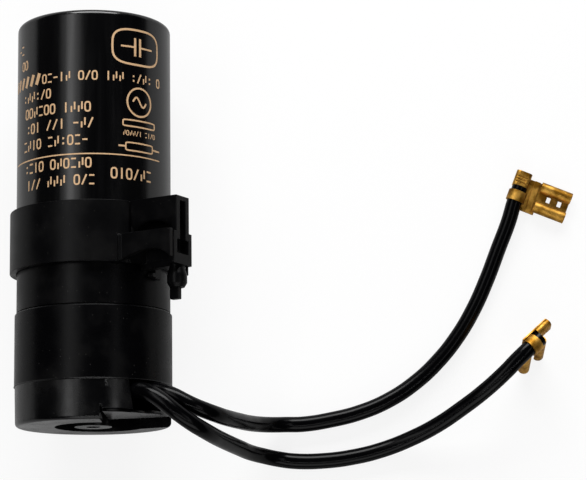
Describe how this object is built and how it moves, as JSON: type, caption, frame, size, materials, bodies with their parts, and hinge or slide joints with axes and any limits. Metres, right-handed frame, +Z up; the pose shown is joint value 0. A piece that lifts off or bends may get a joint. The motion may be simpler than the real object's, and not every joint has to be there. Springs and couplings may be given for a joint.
{
  "type": "motor start capacitor",
  "caption": "Round moulded motor start capacitor with clip-on mounting band, wiring cap and two leads ending in flag receptacles.",
  "frame": {"origin": "centre of the closed end's flat face, on the case axis", "axes": "+Y along the case axis and out of the closed end, +Z up as the part lies on its band, +X towards the leads"},
  "size_m": [0.1362, 0.105, 0.0452],
  "materials": {
    "case_moulding": "matt, fine moulded grain",
    "sleeve_film": "gloss film with sand-coloured print",
    "cap_moulding": "satin, fine moulded grain",
    "header_board": "matt phenolic board",
    "vent_rubber": "matt rubber",
    "tab_metal": "tinned brass sheet",
    "rivet_metal": "satin aluminium",
    "solder": "bright solder",
    "band_moulding": "satin nylon",
    "lead_jacket": "soft gloss insulation",
    "copper_strand": "copper strands",
    "receptacle_brass": "rolled brass sheet"
  },
  "bodies": {
    "root": {"case": "case_moulding", "printed_sleeve": "sleeve_film", "wiring_cap": "cap_moulding", "header_disc": "header_board", "vent_plug": "vent_rubber", "solder_tab_a": "tab_metal", "solder_tab_b": "tab_metal", "tab_rivets": "rivet_metal", "solder_joints": "solder", "mounting_band": "band_moulding", "lead_a": "lead_jacket", "lead_b": "lead_jacket", "conductor_a": "copper_strand", "conductor_b": "copper_strand", "flag_terminal_a": "receptacle_brass", "flag_terminal_b": "receptacle_brass"}
  },
  "joints": []
}
